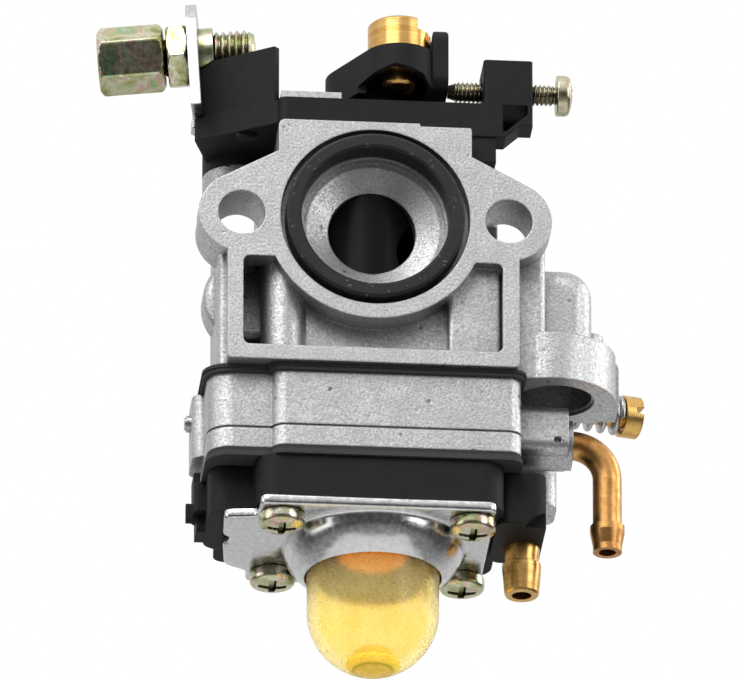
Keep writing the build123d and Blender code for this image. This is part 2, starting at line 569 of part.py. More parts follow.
parts["purge_base"] = purge_base()
parts["return_fitting"] = turned(
    [(1.15, 2.7), (1.9, 2.7), (1.9, 0.0), (2.12, 0.0), (1.92, -2.15), (2.25, -2.15), (2.25, -2.85), (2.0, -5.7),
     (1.85, -5.95), (1.15, -5.95)], (return_x, return_y, return_low), Z)
parts["purge_check_valve"] = one(turned(
    [(0, 3.6), (1.2, 3.6), (1.2, 2.5), (3.3, 2.2), (3.3, 1.6), (1.3, 1.1), (1.3, -0.1), (4.2, -0.1),
     (4.2, -2.5), (3.7, -2.9), (1.2, -3.2), (0.35, -4.2), (0, -4.2)],
    (stack_x, stack_y, base_low), Z))


def retainer_plate():
    """Pressed steel plate: flat with an ear on the left, drawn down into a dome with a round mouth."""
    sheet = panel((-13.2, 14.1), (0.3, 23.2), 1.0)
    sheet += outline((-13.0, 4.4), (-17.1, 4.9), (-16.8, 10.2), (-16.2, 10.6), (-16.2, 12.6), (-16.6, 13.0),
                     (-16.0, 18.6), (-13.0, 20.4))
    plate = plan(sheet, plate_low, base_low)
    plate += turned([(8.6, base_low), (dome_r, base_low), (dome_r, plate_low - 0.2), (10.7, plate_low - 1.7),
                     (9.9, plate_low - 3.4), (8.7, dome_low + 0.3), (dome_rim_r, dome_low), (dome_rim_r, -39.2)],
                    (stack_x, stack_y, 0), Z)
    plate -= turned([(0, base_low + 1), (10.0, base_low + 1), (10.0, plate_low - 0.2), (9.7, plate_low - 1.4),
                     (8.9, plate_low - 2.8), (dome_rim_r, dome_low + 0.9), (dome_rim_r, -60), (0, -60)],
                    (stack_x, stack_y, 0), Z)
    return one(with_holes(plate))


parts["bulb_retainer_plate"] = retainer_plate()
parts["plate_screws"] = Compound(children=[
    pan_screw((x, y, plate_low), Z, body_bottom - plate_low + 4.6, screw_r - 0.04, screw_head_r, screw_head)
    for x, y in screw_spots])


def bulb_profile():
    """Half section of the primer bulb: flange, wall and hemisphere."""
    inner = bulb_r - bulb_wall
    return outline((inner, base_low), (9.8, base_low), (9.8, base_low - 1.3), (bulb_r + 0.15, base_low - 3.2),
                   (bulb_r, base_low - 4.4), (bulb_r, bulb_centre), (inner, bulb_centre))


parts["primer_bulb"] = Pos(stack_x, stack_y, 0) * revolve(Plane.XZ * bulb_profile(), Axis.Z)
shell = Sphere(bulb_r) - Sphere(bulb_r - bulb_wall)
parts["primer_bulb_tip"] = Pos(stack_x, stack_y, bulb_centre) * (
    (shell - block((-20, 20), (-20, 20), (0, 20))) + (Pos(0, 0, -bulb_r + 1.0) * Cylinder(2.5, 0.9)))

for node, shape in parts.items():
    shape.label = node
    export_step(shape, f"parts/{node}.step")
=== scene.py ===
import json

import bmesh
import bpy
import numpy as np
from mathutils import Matrix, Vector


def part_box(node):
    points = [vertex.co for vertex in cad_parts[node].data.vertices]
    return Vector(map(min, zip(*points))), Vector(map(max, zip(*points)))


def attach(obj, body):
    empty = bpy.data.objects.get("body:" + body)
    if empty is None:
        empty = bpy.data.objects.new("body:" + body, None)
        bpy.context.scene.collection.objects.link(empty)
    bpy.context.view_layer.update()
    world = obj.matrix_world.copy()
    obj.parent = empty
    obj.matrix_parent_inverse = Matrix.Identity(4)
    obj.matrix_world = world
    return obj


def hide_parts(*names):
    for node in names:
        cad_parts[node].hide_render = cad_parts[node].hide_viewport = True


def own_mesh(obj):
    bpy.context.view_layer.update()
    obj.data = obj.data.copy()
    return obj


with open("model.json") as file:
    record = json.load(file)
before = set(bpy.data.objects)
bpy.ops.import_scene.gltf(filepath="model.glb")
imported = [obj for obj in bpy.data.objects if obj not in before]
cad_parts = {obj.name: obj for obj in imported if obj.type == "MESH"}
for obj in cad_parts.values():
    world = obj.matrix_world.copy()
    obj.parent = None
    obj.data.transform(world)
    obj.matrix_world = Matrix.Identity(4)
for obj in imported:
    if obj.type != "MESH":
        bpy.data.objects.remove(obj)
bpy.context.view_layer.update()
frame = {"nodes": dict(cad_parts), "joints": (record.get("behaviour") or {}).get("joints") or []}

# A small two-stroke carburetor. Places come from the frame; sizes are in metres, as multiples of MM.
MM = 0.001
joints = {joint["name"]: joint for joint in frame["joints"]}

HEX_ACROSS = 7.0 * MM                           # the adjuster and its nut
STACK_CENTRE = np.array([0.75, 12.0]) * MM      # x and y of the primer's axis


# ---------------------------------------------------------------- surfaces
def unit(vector):
    """The vector at length one."""
    vector = np.array(vector, float)
    return vector / np.linalg.norm(vector)


def stand(points, origin, axis):
    """Points whose own third axis is +z, turned so that it lies along axis, and moved to origin."""
    w = unit(axis)
    hint = (0, 0, 1) if abs(w[2]) < 0.9 else (0, -1, 0)
    u = unit(np.cross(hint, w))
    v = np.cross(w, u)
    return np.array(origin) + points[..., :1] * u + points[..., 1:2] * v + points[..., 2:] * w


def skin(name, grids, material, body, replaces=(), rings=False, sharp=32):
    """A piece from grids of points (rows, columns, 3). Columns close into a ring; rings closes the rows too.

    Each cell of a grid is one face. Points that fall on each other at a pole are merged."""
    vertices, faces, start = [], [], 0
    for grid in grids:
        rows, columns = grid.shape[:2]
        number = np.arange(rows * columns).reshape(rows, columns) + start
        below = np.roll(number, -1, axis=0)
        last = rows if rings else rows - 1
        quad = np.stack([number, np.roll(number, -1, 1), np.roll(below, -1, 1), below], -1)[:last]
        vertices.append(grid.reshape(-1, 3))
        faces.append(quad.reshape(-1, 4))
        start += rows * columns
    mesh = bpy.data.meshes.new(name)
    mesh.from_pydata(np.concatenate(vertices).tolist(), [], np.concatenate(faces).tolist())
    shell = bmesh.new()
    shell.from_mesh(mesh)
    bmesh.ops.remove_doubles(shell, verts=shell.verts, dist=1e-6)
    bmesh.ops.recalc_face_normals(shell, faces=shell.faces)
    shell.to_mesh(mesh)
    shell.free()
    mesh.polygons.foreach_set("use_smooth", np.ones(len(mesh.polygons), bool))
    mesh.set_sharp_from_angle(angle=np.radians(sharp))
    mesh.materials.append(material)
    piece = bpy.data.objects.new(name, mesh)
    bpy.context.scene.collection.objects.link(piece)
    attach(piece, body)
    if replaces:
        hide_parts(*replaces)
    return piece


def around(columns):
    """Angles of a ring's columns."""
    return np.arange(columns) * 2 * np.pi / columns


def revolve(radius, height, columns=96):
    """Grid of a turned surface: each (radius, height) pair of the profile makes one ring.

    radius and height may also be arrays of (rows, columns), so that a ring's shape can change round it."""
    angle = around(columns)
    radius = np.array(radius, float)
    height = np.array(height, float)
    radius = radius[:, None] if radius.ndim == 1 else radius
    height = height[:, None] if height.ndim == 1 else height
    radius, height = np.broadcast_arrays(radius, height + 0 * angle)
    return np.stack([radius * np.cos(angle), radius * np.sin(angle), height], -1)


def smooth(value, low, high):
    """Smooth step from 0 at low to 1 at high."""
    t = np.clip((value - low) / (high - low), 0, 1)
    return t * t * (3 - 2 * t)


def hexagon(across, columns, turn=0.0):
    """Radius of a hexagon in each direction: half its width over the cosine of the angle from the flat."""
    angle = np.mod(around(columns) + turn + np.pi / 6, np.pi / 3) - np.pi / 6
    return across / 2 / np.cos(angle)


def thread(z, columns, outer, pitch):
    """Radius of a screw thread: a triangle wave of height and angle, flattened at its crest and root."""
    phase = np.mod(z[:, None] / pitch + around(columns) / (2 * np.pi), 1)
    wave = np.clip(1.25 * (1 - np.abs(2 * phase - 1)) - 0.12, 0, 1)
    return outer - 0.56 * pitch * (1 - wave)


def threaded(z0, z1, columns, outer, pitch, rows_per_turn=10):
    """Rows of a threaded length from z0 to z1, faded into its root at both ends."""
    z = np.linspace(z0, z1, int(abs(z1 - z0) / pitch * rows_per_turn))
    radius = thread(z, columns, outer, pitch)
    root = outer - 0.56 * pitch
    near_end = np.minimum(np.abs(z - z0), np.abs(z - z1))[:, None]
    return np.minimum(radius, root + near_end), z[:, None] + 0 * radius


def cross_recess(x, y, reach, arm, depth):
    """Depth of a cross recess: two crossing tapered arms that get shallower towards their ends."""
    along = np.maximum(np.abs(x), np.abs(y))
    beside = np.minimum(np.abs(x), np.abs(y))
    width = arm * (1 - 0.3 * along / reach)
    inside = smooth(width - beside, 0, 0.08 * arm + 1e-9) * smooth(reach - along, 0, 0.15 * arm)
    return depth * inside * (1 - 0.55 * along / reach)


def pan_head_screw(length, outer, head_r, head_h, pitch, rows_per_turn=10, columns=120):
    """Grid of a cross-head screw: domed head with its recess, flat under it, thread and a coned tip."""
    share = np.linspace(0, 1, 44)
    crown_r = head_r * 0.84 * share
    crown_z = head_h * (1 - 0.2 * share ** 2)
    angle = around(columns)
    x, y = crown_r[:, None] * np.cos(angle), crown_r[:, None] * np.sin(angle)
    sunk = crown_z[:, None] - cross_recess(x, y, head_r * 0.62, head_r * 0.17, head_h * 0.62)
    bend = np.linspace(0, np.pi / 2, 8)[1:]
    rim_r = head_r * (0.84 + 0.16 * np.sin(bend))
    rim_z = head_h * (0.8 - 0.35 * (1 - np.cos(bend)))
    under = ([head_r, head_r * 0.97, outer], [head_h * 0.06, 0, 0])
    shank_r, shank_z = threaded(-0.3 * MM, -length + outer * 0.6, columns, outer, pitch, rows_per_turn)
    tip = ([outer * 0.6, 0], [-length, -length])
    radius = [crown_r, rim_r, under[0], [outer - 0.5 * pitch], shank_r, tip[0]]
    height = [sunk, rim_z, under[1], [-0.2 * MM], shank_z, tip[1]]

    def spread(part):
        part = np.array(part, float)
        return part if part.ndim == 2 else np.repeat(part[:, None], columns, 1)
    return revolve(np.concatenate([spread(p) for p in radius]),
                   np.concatenate([spread(p) for p in height]), columns)


def slotted_screw(length, outer, head_r, head_h, slot, columns=128):
    """Grid of a cheese-head screw: flat head cut across by one slot, plain shank and a needle tip."""
    angle = around(columns)
    share = np.concatenate([np.linspace(0, 0.93, 26), [0.95, 0.975, 1.0]])
    rounding = np.where(share > 0.93, 0.12 * MM * ((share - 0.93) / 0.07) ** 2, 0)
    y = head_r * share[:, None] * np.sin(angle)
    cut = 0.9 * MM * smooth(slot - np.abs(y), 0, 0.05 * MM)
    top = head_h - rounding[:, None] - cut
    side = np.linspace(0.94, 0, 9)[:, None] * top[-1]
    low_r = [head_r * 0.97, outer, outer, outer * 0.45, 0.2 * MM, 0]
    low_z = [-0.05 * MM, -0.05 * MM, -length * 0.82, -length * 0.87, -length, -length]
    radius = np.concatenate([head_r * share, np.full(9, head_r), low_r])
    height = np.concatenate([top, side, np.repeat(np.array(low_z)[:, None], columns, 1)])
    return revolve(radius, height, columns)


def helix_spring(start, axis, length, mean_r, wire, turns, columns=14):
    """Grid of a spring: a circle of wire carried along a helix whose end turns lie nearly flat."""
    share = np.linspace(0, 1, int(turns * 40))
    turn = share * turns
    speed = 0.12 + smooth(np.minimum(turn, turns - turn), 0.35, 1.0)
    height = np.concatenate([[0], np.cumsum(speed[1:])])
    height = wire / 2 + height / height[-1] * (length - wire)
    angle = 2 * np.pi * turn
    out = np.stack([np.cos(angle), np.sin(angle), 0 * angle], -1)
    centre = out * mean_r + np.stack([0 * angle, 0 * angle, height], -1)
    ring = around(columns)
    thick = np.full(len(share), wire / 2)
    thick[[0, -1]] = 0
    points = centre[:, None] + thick[:, None, None] * (
        np.cos(ring)[None, :, None] * out[:, None] + np.sin(ring)[None, :, None] * np.array([0, 0, 1.0]))
    return stand(points, start, axis)


# ---------------------------------------------------------------- material helpers
def socket_value(socket, value, tree):
    """Links another node's output into a socket, or sets the socket's own value."""
    if isinstance(value, bpy.types.NodeSocket):
        tree.links.new(value, socket)
    elif isinstance(value, (tuple, list)) and len(value) == 3 and len(socket.default_value) == 4:
        socket.default_value = (*value, 1)
    else:
        socket.default_value = value


def node(tree, kind, settings=None, **inputs):
    """A node with its properties and named inputs set. An underscore in an input's name is a space."""
    made = tree.nodes.new("ShaderNode" + kind)
    for name, value in (settings or {}).items():
        setattr(made, name, value)
    for name, value in inputs.items():
        socket_value(made.inputs[name.replace("_", " ")], value, tree)
    return made


def math(tree, operation, a, b=0.0):
    """One step of arithmetic on values or sockets."""
    made = tree.nodes.new("ShaderNodeMath")
    made.operation = operation
    socket_value(made.inputs[0], a, tree)
    socket_value(made.inputs[1], b, tree)
    return made.outputs[0]


def mix(tree, factor, a, b):
    """Colour between a and b."""
    made = tree.nodes.new("ShaderNodeMix")
    made.data_type = "RGBA"
    socket_value(made.inputs[0], factor, tree)
    socket_value(made.inputs[6], a, tree)
    socket_value(made.inputs[7], b, tree)
    return made.outputs[2]


def remap(tree, value, low, high, to_low=0.0, to_high=1.0):
    """Value carried from the span low to high onto the span to_low to to_high, and held at its ends."""
    made = node(tree, "MapRange", From_Min=low, From_Max=high, To_Min=to_low, To_Max=to_high)
    tree.links.new(value, made.inputs[0])
    return made.outputs[0]


def ramp(tree, value, stops):
    """Colour ramp over (place, colour) stops."""
    made = tree.nodes.new("ShaderNodeValToRGB")
    for place, _ in stops[1:-1]:
        made.color_ramp.elements.new(place)
    for element, (place, colour) in zip(made.color_ramp.elements, stops):
        element.position = place
        element.color = (*colour, 1)
    tree.links.new(value, made.inputs[0])
    return made.outputs[0]


def object_place(tree):
    """The piece's own coordinates, in metres."""
    return tree.nodes.new("ShaderNodeTexCoord").outputs["Object"]


def noise(tree, place, scale, detail=3.0, rough=0.6, warp=0.0):
    """Soft noise whose patches are about 1 / scale metres across."""
    return node(tree, "TexNoise", Vector=place, Scale=scale, Detail=detail, Roughness=rough,
                Distortion=warp).outputs[0]


def new_group(name, inputs, outputs):
    """Empty node group with float inputs (name: value) and named outputs (name: socket type)."""
    group = bpy.data.node_groups.new(name, "ShaderNodeTree")
    for label, value in inputs.items():
        socket = group.interface.new_socket(name=label, in_out="INPUT", socket_type="NodeSocketFloat")
        socket.default_value = value
    for label, kind in outputs.items():
        group.interface.new_socket(name=label, in_out="OUTPUT", socket_type="NodeSocket" + kind)
    return group, group.nodes.new("NodeGroupInput"), group.nodes.new("NodeGroupOutput")


def use(tree, group, **inputs):
    """Outputs of a node group placed in a tree with its own input values."""
    made = tree.nodes.new("ShaderNodeGroup")
    made.node_tree = group
    for name, value in inputs.items():
        socket_value(made.inputs[name], value, tree)
    return made.outputs


def build_cast_grain():
    """Sand-fine grain of a blasted casting: speckle, a few dark pits, and a height for the bump."""
    group, inputs, outputs = new_group("cast_grain", {"Scale": 3000.0}, {
        "Speckle": "Float", "Cloud": "Float", "Pits": "Float", "Height": "Float"})
    place, scale = object_place(group), inputs.outputs["Scale"]
    fine = noise(group, place, scale, 2.0, 0.75)
    speckle = remap(group, fine, 0.33, 0.67)
    cloud = noise(group, place, math(group, "MULTIPLY", scale, 0.09), 4.0, 0.6)
    cells = node(group, "TexVoronoi", Vector=place, Scale=math(group, "MULTIPLY", scale, 0.22))
    rare = remap(group, noise(group, place, math(group, "MULTIPLY", scale, 0.13), 1.0), 0.6, 0.68)
    pits = math(group, "MULTIPLY", remap(group, cells.outputs["Distance"], 0.26, 0.12), rare)
    height = math(group, "SUBTRACT", math(group, "ADD", math(group, "MULTIPLY", speckle, 0.5), cloud), pits)
    for name, value in (("Speckle", speckle), ("Cloud", cloud), ("Pits", pits), ("Height", height)):
        group.links.new(value, outputs.inputs[name])
    return group


def build_passivation():
    """Drifting rainbow tint of chromate on zinc: straw, olive, pale pink and blue-grey in soft patches."""
    group, inputs, outputs = new_group("passivation", {"Scale": 330.0, "Strength": 0.6}, {"Color": "Color"})
    place, scale = object_place(group), inputs.outputs["Scale"]
    patch = noise(group, place, scale, 2.5, 0.55, 0.6)
    tint = ramp(group, remap(group, patch, 0.28, 0.74), [
        (0.0, (0.14, 0.20, 0.07)), (0.2, (0.46, 0.46, 0.16)), (0.38, (0.66, 0.70, 0.44)),
        (0.5, (0.80, 0.78, 0.62)), (0.6, (0.74, 0.46, 0.40)), (0.7, (0.58, 0.60, 0.28)),
        (0.85, (0.28, 0.52, 0.26)), (1.0, (0.66, 0.70, 0.56))])
    plain = (0.62, 0.58, 0.42)
    group.links.new(mix(group, inputs.outputs["Strength"], plain, tint), outputs.inputs["Color"])
    return group


def build_tool_marks():
    """Turning lines round an axis: noise of the distance along it, drawn out into rings."""
    group, inputs, outputs = new_group("tool_marks", {"Along": 0.0, "Density": 9000.0}, {
        "Lines": "Float", "Bands": "Float"})
    along, density = inputs.outputs["Along"], inputs.outputs["Density"]
    for name, share in (("Lines", 1.0), ("Bands", 0.15)):
        lines = node(group, "TexNoise", {"noise_dimensions": "1D"}, Scale=1.0, Detail=2.0,
                     W=math(group, "MULTIPLY", math(group, "MULTIPLY", along, density), share))
        group.links.new(lines.outputs[0], outputs.inputs[name])
    return group


def build_dust():
    """Small pale specks, thicker in some places than in others."""
    group, inputs, outputs = new_group("dust", {"Scale": 2200.0, "Amount": 0.5}, {"Specks": "Float"})
    place, scale = object_place(group), inputs.outputs["Scale"]
    cells = node(group, "TexVoronoi", Vector=place, Scale=scale).outputs["Distance"]
    rare = noise(group, place, math(group, "MULTIPLY", scale, 0.35), 2.0)
    limit = math(group, "SUBTRACT", 0.74, math(group, "MULTIPLY", inputs.outputs["Amount"], 0.22))
    here = math(group, "GREATER_THAN", rare, limit)
    specks = math(group, "MULTIPLY", here, remap(group, cells, 0.34, 0.18))
    group.links.new(specks, outputs.inputs["Specks"])
    return group


def build_painted_crevice_shade():
    """Painted shade: a value that falls from 1 on open faces to Low in corners and recesses narrower than
    Reach, found by ambient occlusion, to darken colours where shade falls.
    """
    group, inputs, outputs = new_group("painted_crevice_shade", {"Reach": 0.003, "Low": 0.5, "Open": 0.95}, {
        "Shade": "Float"})
    given = inputs.outputs
    shelter = node(group, "AmbientOcclusion", {"samples": 6}, Distance=given["Reach"]).outputs["AO"]
    group.links.new(remap(group, shelter, 0.25, given["Open"], given["Low"], 1.0), outputs.inputs["Shade"])
    return group


cast_grain = build_cast_grain()
passivation = build_passivation()
tool_marks = build_tool_marks()
dust = build_dust()
painted_crevice_shade = build_painted_crevice_shade()


def new_material(name, **plain):
    """Material with a Principled shader; plain sets its sockets that are the same all over."""
    material = bpy.data.materials.new(name)
    material.use_nodes = True
    shader = material.node_tree.nodes["Principled BSDF"]
    for label, value in plain.items():
        socket_value(shader.inputs[label.replace("_", " ")], value, material.node_tree)
    return material, material.node_tree, shader


def bumped(tree, shader, height, distance, rounded=0.0, strength=1.0):
    """Feeds a height into the shader's normal, over edges softened to a small radius."""
    bump = node(tree, "Bump", Strength=strength, Distance=distance, Height=height)
    if rounded:
        soft = node(tree, "Bevel", {"samples": 4}, Radius=rounded)
        tree.links.new(soft.outputs[0], bump.inputs["Normal"])
    tree.links.new(bump.outputs[0], shader.inputs["Normal"])


def scaled(tree, colour, factor):
    """Colour times a value."""
    made = node(tree, "VectorMath", {"operation": "SCALE"})
    tree.links.new(colour, made.inputs[0])
    socket_value(made.inputs["Scale"], factor, tree)
    return made.outputs[0]


def along_axis(tree, axis):
    """Distance along an axis, from the piece's own coordinates."""
    dot = node(tree, "VectorMath", {"operation": "DOT_PRODUCT"})
    tree.links.new(object_place(tree), dot.inputs[0])
    dot.inputs[1].default_value = tuple(unit(axis))
    return dot.outputs["Value"]


# ---------------------------------------------------------------- materials
def cast_aluminium():
    """Bright blasted casting: pale grain, darker flecks, softened edges, and painted shade in its corners and
    recesses.
    """
    material, tree, shader = new_material("cast_aluminium", Metallic=1.0)
    grain = use(tree, cast_grain, Scale=3300.0)
    tone = mix(tree, grain["Speckle"], (0.40, 0.40, 0.405), (0.78, 0.78, 0.785))
    tone = mix(tree, remap(tree, grain["Cloud"], 0.38, 0.62, 0.0, 0.45), tone, (0.44, 0.44, 0.45))
    # Painted shade: the colour darkens in corners and recesses narrower than 3.4 mm.
    tone = scaled(tree, tone, use(tree, painted_crevice_shade, Reach=3.4 * MM, Low=0.6, Open=0.95)["Shade"])
    tone = mix(tree, math(tree, "MULTIPLY", grain["Pits"], 0.75), tone, (0.12, 0.12, 0.12))
    tree.links.new(tone, shader.inputs["Base Color"])
    tree.links.new(remap(tree, grain["Speckle"], 0, 1, 0.50, 0.36), shader.inputs["Roughness"])
    bumped(tree, shader, grain["Height"], 0.04 * MM, 0.25 * MM, 0.7)
    return material


def black_plastic():
    """Fine-grained black moulding with faint grey dust."""
    material, tree, shader = new_material("black_plastic", IOR=1.45, Specular_IOR_Level=0.3)
    grain = use(tree, cast_grain, Scale=5200.0)
    specks = use(tree, dust, Scale=3800.0, Amount=0.35)["Specks"]
    tone = mix(tree, grain["Cloud"], (0.004, 0.004, 0.0043), (0.012, 0.012, 0.0125))
    tone = mix(tree, math(tree, "MULTIPLY", specks, 0.06), tone, (0.3, 0.3, 0.29))
    tree.links.new(tone, shader.inputs["Base Color"])
    tree.links.new(remap(tree, grain["Speckle"], 0, 1, 0.5, 0.68), shader.inputs["Roughness"])
    bumped(tree, shader, grain["Speckle"], 0.02 * MM, 0.22 * MM, 0.6)
    return material


def barrel_plastic():
    """Smooth black nylon of the barrel, a little shiny."""
    material, tree, shader = new_material("barrel_plastic", IOR=1.45, Specular_IOR_Level=0.15)
    haze = noise(tree, object_place(tree), 900.0, 3.0, 0.6)
    tone = mix(tree, haze, (0.003, 0.003, 0.003), (0.009, 0.009, 0.0095))
    tree.links.new(tone, shader.inputs["Base Color"])
    tree.links.new(remap(tree, haze, 0.3, 0.7, 0.28, 0.4), shader.inputs["Roughness"])
    bumped(tree, shader, haze, 0.006 * MM, 0.15 * MM, 0.3)
    return material


def seal_rubber():
    """Black rubber with pale dust specks."""
    material, tree, shader = new_material("seal_rubber", IOR=1.5, Specular_IOR_Level=0.35)
    grain = use(tree, cast_grain, Scale=3600.0)
    specks = use(tree, dust, Scale=2600.0, Amount=0.6)["Specks"]
    tone = mix(tree, grain["Cloud"], (0.006, 0.006, 0.006), (0.022, 0.022, 0.022))
    tone = mix(tree, math(tree, "MULTIPLY", specks, 0.35), tone, (0.4, 0.4, 0.39))
    tree.links.new(tone, shader.inputs["Base Color"])
    tree.links.new(remap(tree, grain["Speckle"], 0, 1, 0.42, 0.6), shader.inputs["Roughness"])
    bumped(tree, shader, grain["Height"], 0.03 * MM, 0.15 * MM, 0.5)
    return material


def sheet_material(name, dark, light):
    """Gasket board or coated diaphragm cloth: fibres at a fine scale, nearly matt."""
    material, tree, shader = new_material(name, IOR=1.45)
    fibre = noise(tree, object_place(tree), 2500.0, 5.0, 0.7, 0.8)
    tree.links.new(mix(tree, fibre, dark, light), shader.inputs["Base Color"])
    tree.links.new(remap(tree, fibre, 0, 1, 0.6, 0.85), shader.inputs["Roughness"])
    bumped(tree, shader, fibre, 0.03 * MM)
    return material


def bright_zinc():
    """Bright plated sheet: silvery, with soft waves and a light haze."""
    material, tree, shader = new_material("bright_zinc", Metallic=1.0)
    place = object_place(tree)
    wave = noise(tree, place, 260.0, 2.0, 0.5, 0.4)
    haze = noise(tree, place, 1500.0, 4.0, 0.65)
    tone = mix(tree, haze, (0.48, 0.48, 0.49), (0.80, 0.80, 0.80))
    tree.links.new(tone, shader.inputs["Base Color"])
    rough = math(tree, "ADD", remap(tree, haze, 0.3, 0.7, 0.17, 0.34), remap(tree, wave, 0.4, 0.6, 0.0, 0.08))
    tree.links.new(rough, shader.inputs["Roughness"])
    height = math(tree, "ADD", math(tree, "MULTIPLY", wave, 0.8), math(tree, "MULTIPLY", haze, 0.12))
    bumped(tree, shader, height, 0.12 * MM, 0.15 * MM, 0.5)
    return material


def drawn_plate():
    """Bright plated steel drawn in a press: nearly a mirror, with soft waves and a little grey haze."""
    material, tree, shader = new_material("drawn_plate", Metallic=1.0)
    place = object_place(tree)
    wave = noise(tree, place, 190.0, 2.0, 0.5, 0.5)
    haze = noise(tree, place, 1700.0, 4.0, 0.65)
    tone = mix(tree, remap(tree, haze, 0.3, 0.7), (0.60, 0.60, 0.61), (0.86, 0.86, 0.86))
    tree.links.new(tone, shader.inputs["Base Color"])
    tree.links.new(remap(tree, haze, 0.3, 0.7, 0.13, 0.27), shader.inputs["Roughness"])
    height = math(tree, "ADD", wave, math(tree, "MULTIPLY", haze, 0.08))
    bumped(tree, shader, height, 0.25 * MM, 0.0, 0.5)
    return material


def chromate(name, strength):
    """Passivated zinc with its rainbow tint, and painted shade that darkens its recesses nearly to black."""
    material, tree, shader = new_material(name, Metallic=1.0)
    tint = use(tree, passivation, Scale=330.0, Strength=strength)
    haze = noise(tree, object_place(tree), 2400.0, 3.0, 0.65)
    tone = mix(tree, remap(tree, haze, 0.5, 0.85, 0.0, 0.35), tint["Color"], (0.24, 0.22, 0.10))
    # Painted shade: recesses, such as the screws' cross recesses, darken nearly to black.
    tone = scaled(tree, tone, use(tree, painted_crevice_shade, Reach=1.2 * MM, Low=0.04, Open=0.9)["Shade"])
    tree.links.new(tone, shader.inputs["Base Color"])
    tree.links.new(remap(tree, haze, 0.3, 0.7, 0.16, 0.34), shader.inputs["Roughness"])
    bumped(tree, shader, haze, 0.02 * MM, 0.1 * MM, 0.5)
    return material


def bright_steel():
    """Plain steel wire, pins and balls."""
    material, tree, shader = new_material("bright_steel", Metallic=1.0)
    haze = noise(tree, object_place(tree), 3000.0, 3.0, 0.6)
    tree.links.new(mix(tree, haze, (0.36, 0.36, 0.37), (0.68, 0.67, 0.66)), shader.inputs["Base Color"])
    tree.links.new(remap(tree, haze, 0.3, 0.7, 0.18, 0.36), shader.inputs["Roughness"])
    bumped(tree, shader, haze, 0.015 * MM)
    return material


def turned_metal(name, axis, dark, light):
    """Metal turned on a lathe about an axis: rings of finer and broader marks, with a little tarnish."""
    material, tree, shader = new_material(name, Metallic=1.0)
    lines = use(tree, tool_marks, Along=along_axis(tree, axis), Density=9000.0)
    stain = noise(tree, object_place(tree), 420.0, 4.0, 0.65, 0.3)
    tone = mix(tree, remap(tree, lines["Bands"], 0.3, 0.7, 0.25, 0.85), dark, light)
    tone = mix(tree, remap(tree, stain, 0.5, 0.78, 0.0, 0.55), tone, tuple(0.45 * c for c in dark))
    tree.links.new(tone, shader.inputs["Base Color"])
    tree.links.new(remap(tree, stain, 0.3, 0.75, 0.16, 0.36), shader.inputs["Roughness"])
    bumped(tree, shader, lines["Lines"], 0.02 * MM, 0.1 * MM, 0.5)
    return material


def elbow_copper():
    """Drawn copper-brown tube: lengthwise haze and darker tarnish, brighter where it was handled."""
    material, tree, shader = new_material("elbow_copper", Metallic=1.0)
    place = object_place(tree)
    stain = noise(tree, place, 520.0, 5.0, 0.7, 0.5)
    fine = noise(tree, place, 2600.0, 3.0, 0.65)
    tone = mix(tree, remap(tree, stain, 0.3, 0.7), (0.34, 0.14, 0.035), (0.80, 0.44, 0.15))
    tone = mix(tree, remap(tree, fine, 0.55, 0.75, 0.0, 0.4), tone, (0.88, 0.56, 0.25))
    tree.links.new(tone, shader.inputs["Base Color"])
    tree.links.new(remap(tree, stain, 0.3, 0.7, 0.42, 0.26), shader.inputs["Roughness"])
    bumped(tree, shader, fine, 0.02 * MM, 0.0, 0.5)
    return material


def amber(name, clear, deep, transmission, rough):
    """Yellow translucent bulb plastic: deeper in streaks and at its rim, with fine surface haze."""
    material, tree, shader = new_material(name, IOR=1.25, Transmission_Weight=transmission)
    place = object_place(tree)
    stretched = node(tree, "Mapping", Vector=place, Scale=(1.0, 1.0, 0.25)).outputs[0]
    streak = noise(tree, stretched, 420.0, 3.0, 0.6)
    haze = noise(tree, place, 1300.0, 3.0, 0.6)
    height = node(tree, "SeparateXYZ", Vector=place).outputs[2]
    rim_starts, rim_full = -45.0 * MM, -40.0 * MM
    near_rim = remap(tree, height, rim_starts, rim_full)
    tone = mix(tree, remap(tree, streak, 0.4, 0.75), clear, deep)
    # Darker, more orange colour towards the rim, fading in from rim_starts to rim_full.
    deeper_near_rim = mix(tree, remap(tree, streak, 0.35, 0.6), (0.95, 0.70, 0.26), (0.78, 0.62, 0.30))
    tone = mix(tree, math(tree, "MULTIPLY", math(tree, "MULTIPLY", near_rim, near_rim), 0.6), tone, deeper_near_rim)
    tree.links.new(tone, shader.inputs["Base Color"])
    tree.links.new(remap(tree, haze, 0.3, 0.7, rough * 0.7, rough * 1.3), shader.inputs["Roughness"])
    bumped(tree, shader, haze, 0.01 * MM, 0.0, 0.4)
    return material


